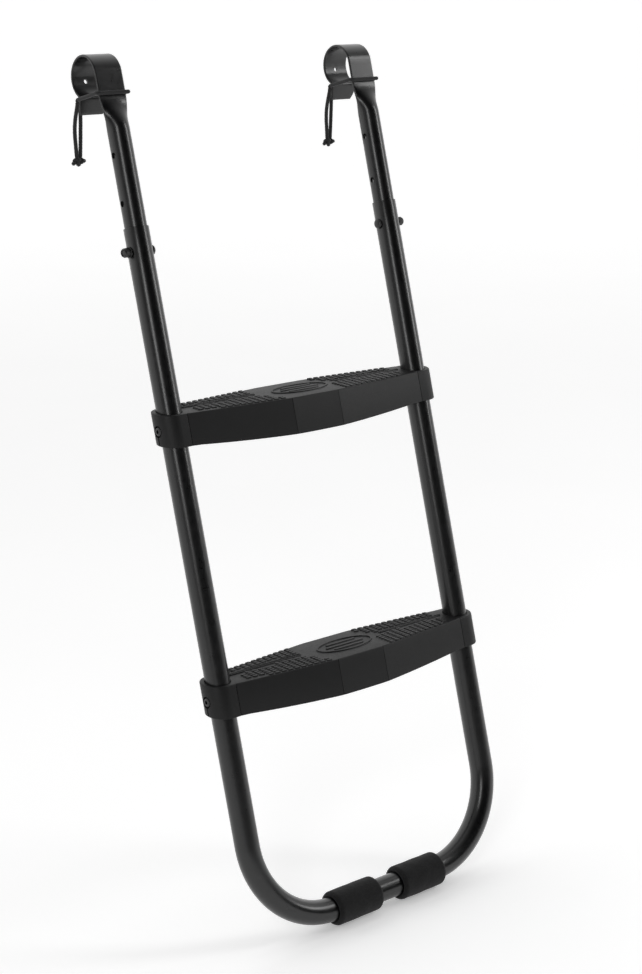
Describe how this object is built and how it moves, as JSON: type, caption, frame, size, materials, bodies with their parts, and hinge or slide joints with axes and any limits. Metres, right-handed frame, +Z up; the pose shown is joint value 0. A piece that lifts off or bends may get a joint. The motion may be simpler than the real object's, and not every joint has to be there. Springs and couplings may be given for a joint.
{
  "type": "trampoline ladder",
  "caption": "Ladder with level moulded steps, telescoping legs with ring hooks and elastic retaining cords, a bent tube base and foam sleeves on its bottom bar.",
  "frame": {"origin": "on the axis of the tube that both hooks hang on, midway between them", "axes": "+X along that tube from the left hook to the right one, +Y to the rear, under the trampoline, +Z up; the legs lean 16 degrees in the Y-Z plane and the steps are level"},
  "size_m": [0.4096, 0.3313, 0.9608],
  "materials": {
    "black_steel": "black satin powder coat on steel tube",
    "black_plastic": "black moulded plastic with a fine grain",
    "black_foam": "matte black closed-cell foam",
    "elastic": "black braided cover on an elastic cord",
    "black_bolt": "black oxide steel",
    "zinc": "bright zinc plate"
  },
  "bodies": {
    "frame": {"lower_frame": "black_steel", "upper_step": "black_plastic", "upper_step_left_bolt": "black_bolt", "upper_step_left_nut": "zinc", "upper_step_right_bolt": "black_bolt", "upper_step_right_nut": "zinc", "lower_step": "black_plastic", "lower_step_left_bolt": "black_bolt", "lower_step_left_nut": "zinc", "lower_step_right_bolt": "black_bolt", "lower_step_right_nut": "zinc", "left_height_bolt": "black_bolt", "left_height_washer": "black_bolt", "left_height_nut": "black_bolt", "left_foam_sleeve": "black_foam", "right_height_bolt": "black_bolt", "right_height_washer": "black_bolt", "right_height_nut": "black_bolt", "right_foam_sleeve": "black_foam"},
    "left_hook": {"left_hook_tube": "black_steel", "left_hook_cord": "elastic", "left_cord_tail_a": "elastic", "left_cord_tail_b": "elastic", "left_cord_knot": "elastic"},
    "right_hook": {"right_hook_tube": "black_steel", "right_hook_cord": "elastic", "right_cord_tail_a": "elastic", "right_cord_tail_b": "elastic", "right_cord_knot": "elastic"}
  },
  "joints": [
    {"name": "left_leg_slide", "type": "slide", "parent": "frame", "child": "left_hook", "axis": [0, 0.2756, 0.9613], "range_m": [-0.105, 0]},
    {"name": "right_leg_slide", "type": "slide", "parent": "frame", "child": "right_hook", "axis": [0, 0.2756, 0.9613], "range_m": [-0.105, 0]}
  ]
}
